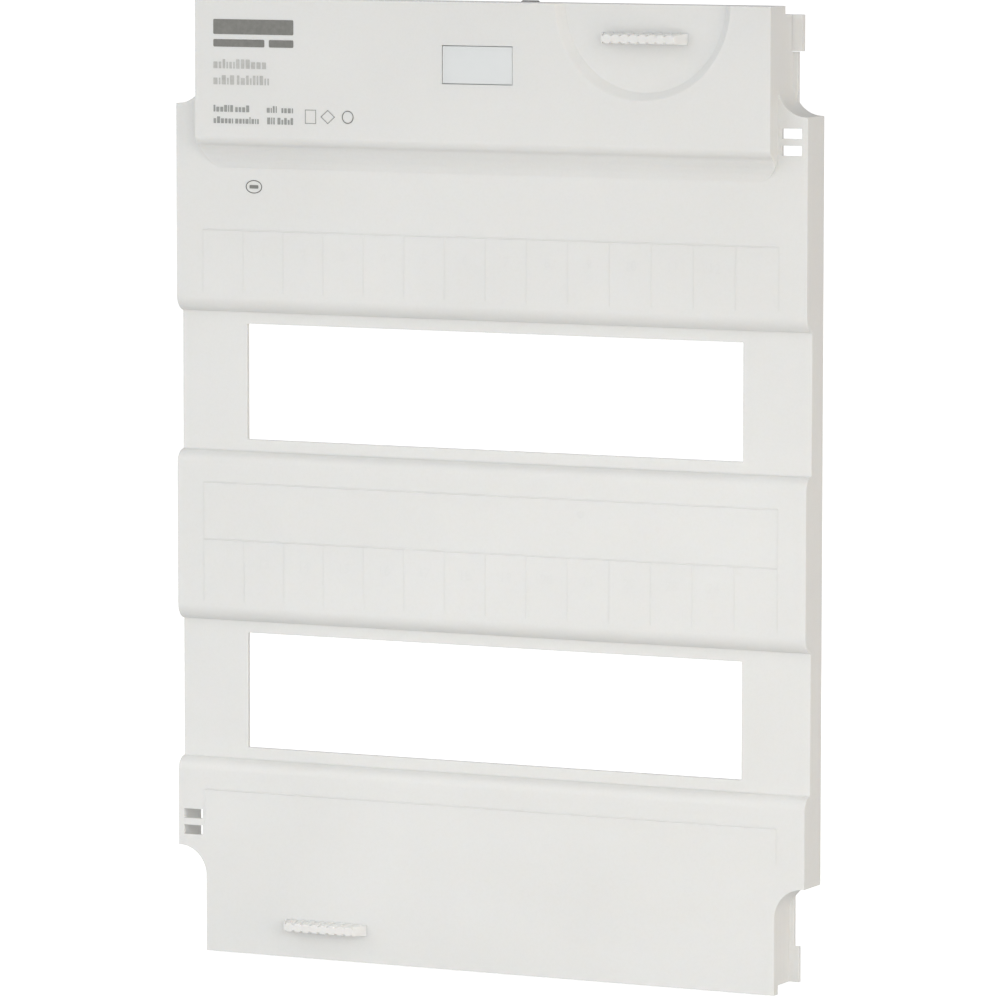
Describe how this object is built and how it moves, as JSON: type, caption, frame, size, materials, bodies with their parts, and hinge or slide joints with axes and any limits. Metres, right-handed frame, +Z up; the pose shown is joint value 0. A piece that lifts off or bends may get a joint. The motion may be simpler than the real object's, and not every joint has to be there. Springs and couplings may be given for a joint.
{
  "type": "breaker panel cover",
  "caption": "Front cover of a flush breaker panel, with two device rows, a raised top box with a label window, and two sliding spring latches.",
  "frame": {"origin": "on the plane of the rear rim, on the centre line and midway between the two device rows", "axes": "seen from the front: +X to the right, +Y back into the wall, +Z up"},
  "size_m": [0.2764, 0.0275, 0.3869],
  "materials": {
    "cover_white": "off-white moulded plastic with a fine texture, slightly uneven sheen",
    "latch_white": "off-white moulded plastic, smoother than the cover",
    "clear_plastic": "clear polished plastic",
    "card": "plain white card",
    "spring_steel": "dark oiled spring steel",
    "zinc_plate": "bright zinc-plated steel"
  },
  "bodies": {
    "panel": {"cover_panel": "cover_white", "label_window": "clear_plastic", "label_card": "card", "label_retainer": "latch_white", "top_centring_clip": "spring_steel", "bottom_centring_clip": "spring_steel", "top_latch_spring": "spring_steel", "top_latch_inner_guide": "latch_white", "top_latch_outer_guide": "latch_white", "top_latch_inner_lower_screw": "zinc_plate", "top_latch_inner_upper_screw": "zinc_plate", "top_latch_outer_lower_screw": "zinc_plate", "top_latch_outer_upper_screw": "zinc_plate", "bottom_latch_spring": "spring_steel", "bottom_latch_inner_guide": "latch_white", "bottom_latch_outer_guide": "latch_white", "bottom_latch_inner_lower_screw": "zinc_plate", "bottom_latch_inner_upper_screw": "zinc_plate", "bottom_latch_outer_lower_screw": "zinc_plate", "bottom_latch_outer_upper_screw": "zinc_plate"},
    "top_latch": {"top_latch_grip": "latch_white", "top_latch_slider": "latch_white"},
    "bottom_latch": {"bottom_latch_grip": "latch_white", "bottom_latch_slider": "latch_white"}
  },
  "joints": [
    {"name": "top_latch_slide", "type": "slide", "parent": "panel", "child": "top_latch", "axis": [-1, 0, 0], "range_m": [0, 0.005], "stiffness_N_per_m": 300, "springref_m": -0.01, "deforming": ["top_latch_spring"]},
    {"name": "bottom_latch_slide", "type": "slide", "parent": "panel", "child": "bottom_latch", "axis": [1, 0, 0], "range_m": [0, 0.005], "stiffness_N_per_m": 300, "springref_m": -0.01, "deforming": ["bottom_latch_spring"]}
  ]
}
